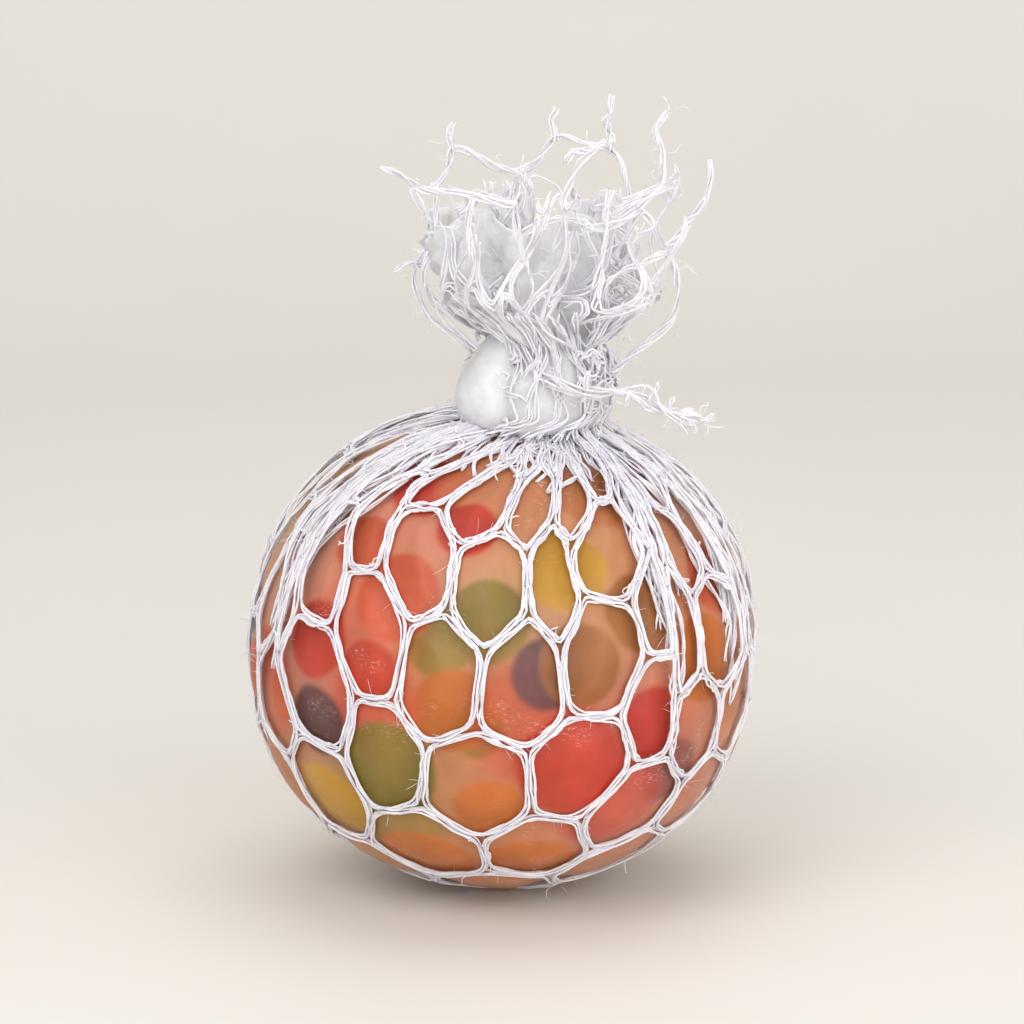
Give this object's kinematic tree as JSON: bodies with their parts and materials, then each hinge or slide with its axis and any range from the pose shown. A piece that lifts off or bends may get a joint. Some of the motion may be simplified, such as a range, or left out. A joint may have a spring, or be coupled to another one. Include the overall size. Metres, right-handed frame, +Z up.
{
  "type": "squeeze ball",
  "caption": "Soft squeeze ball: a clear skin full of coloured gel beads, wrapped in white knitted netting that is gathered, tied and left as a flared tuft on top.",
  "frame": {"origin": "middle of the flat spot that the ball stands on", "axes": "+Z up through the ball towards its neck and tuft, front of the ball faces -Y"},
  "size_m": [0.0645, 0.0647, 0.1005],
  "materials": {
    "clear_skin": "satin",
    "milky_skin": "satin",
    "net_yarn": "matte",
    "tie_thread": "matte",
    "gel_red": "gloss",
    "gel_coral": "gloss",
    "gel_orange": "gloss",
    "gel_amber": "gloss",
    "gel_yellow": "gloss",
    "gel_olive": "gloss",
    "gel_plum": "gloss",
    "gel_tan": "gloss"
  },
  "bodies": {
    "ball": {"skin": "clear_skin", "net_bag": "net_yarn", "gel_bead_red_01": "gel_red", "gel_bead_olive_01": "gel_olive", "gel_bead_coral_01": "gel_coral", "gel_bead_amber_01": "gel_amber", "gel_bead_olive_02": "gel_olive", "gel_bead_yellow_01": "gel_yellow", "gel_bead_orange_01": "gel_orange", "gel_bead_red_02": "gel_red", "gel_bead_yellow_02": "gel_yellow", "gel_bead_plum_01": "gel_plum", "gel_bead_red_03": "gel_red", "gel_bead_amber_02": "gel_amber", "gel_bead_coral_02": "gel_coral", "gel_bead_red_04": "gel_red", "gel_bead_tan_01": "gel_tan", "gel_bead_tan_02": "gel_tan", "gel_bead_orange_02": "gel_orange", "gel_bead_orange_03": "gel_orange", "gel_bead_orange_04": "gel_orange", "gel_bead_orange_05": "gel_orange", "gel_bead_coral_03": "gel_coral", "gel_bead_coral_04": "gel_coral", "gel_bead_red_05": "gel_red", "gel_bead_red_06": "gel_red", "gel_bead_red_07": "gel_red", "gel_bead_orange_06": "gel_orange", "gel_bead_plum_02": "gel_plum", "gel_bead_red_08": "gel_red", "gel_bead_olive_03": "gel_olive", "gel_bead_red_09": "gel_red", "gel_bead_tan_03": "gel_tan", "gel_bead_coral_05": "gel_coral", "gel_bead_coral_06": "gel_coral", "gel_bead_tan_04": "gel_tan", "gel_bead_tan_05": "gel_tan", "gel_bead_olive_04": "gel_olive", "gel_bead_amber_03": "gel_amber", "gel_bead_coral_07": "gel_coral", "gel_bead_yellow_03": "gel_yellow", "gel_bead_olive_05": "gel_olive", "gel_bead_tan_06": "gel_tan", "gel_bead_orange_07": "gel_orange", "gel_bead_plum_03": "gel_plum", "gel_bead_amber_04": "gel_amber", "gel_bead_coral_08": "gel_coral", "gel_bead_yellow_04": "gel_yellow", "gel_bead_olive_06": "gel_olive"},
    "crown": {"skin_collar": "milky_skin", "neck_tie": "tie_thread", "net_throat": "net_yarn"},
    "tuft": {"net_tuft": "net_yarn", "skin_tail": "milky_skin"},
    "corner": {"net_corner": "net_yarn"}
  },
  "joints": [
    {"name": "squeeze", "type": "slide", "parent": "ball", "child": "crown", "axis": [0, 0, 1], "range_m": [-0.02, 0], "stiffness_N_per_m": 450, "deforming": ["skin", "net_bag", "gel_bead_red_01", "gel_bead_olive_01", "gel_bead_coral_01", "gel_bead_amber_01", "gel_bead_olive_02", "gel_bead_yellow_01", "gel_bead_orange_01", "gel_bead_red_02", "gel_bead_yellow_02", "gel_bead_plum_01", "gel_bead_red_03", "gel_bead_amber_02", "gel_bead_coral_02", "gel_bead_red_04", "gel_bead_tan_01", "gel_bead_tan_02", "gel_bead_orange_02", "gel_bead_orange_03", "gel_bead_orange_04", "gel_bead_orange_05", "gel_bead_coral_03", "gel_bead_coral_04", "gel_bead_red_05", "gel_bead_red_06", "gel_bead_red_07", "gel_bead_orange_06", "gel_bead_plum_02", "gel_bead_red_08", "gel_bead_olive_03", "gel_bead_red_09", "gel_bead_tan_03", "gel_bead_coral_05", "gel_bead_coral_06", "gel_bead_tan_04", "gel_bead_tan_05", "gel_bead_olive_04", "gel_bead_amber_03", "gel_bead_coral_07", "gel_bead_yellow_03", "gel_bead_olive_05", "gel_bead_tan_06", "gel_bead_orange_07", "gel_bead_plum_03", "gel_bead_amber_04", "gel_bead_coral_08", "gel_bead_yellow_04", "gel_bead_olive_06"]},
    {"name": "tuft_sway", "type": "hinge", "parent": "crown", "child": "tuft", "pos_m": [0.00549, -0.00244, 0.07036], "axis": [0, 1, 0], "range_deg": [-18, 18], "stiffness_Nm_per_rad": 0.01},
    {"name": "corner_flop", "type": "hinge", "parent": "crown", "child": "corner", "pos_m": [0.0143, -0.014, 0.0661], "axis": [0, 1, 0], "range_deg": [-20, 20], "stiffness_Nm_per_rad": 0.002}
  ]
}
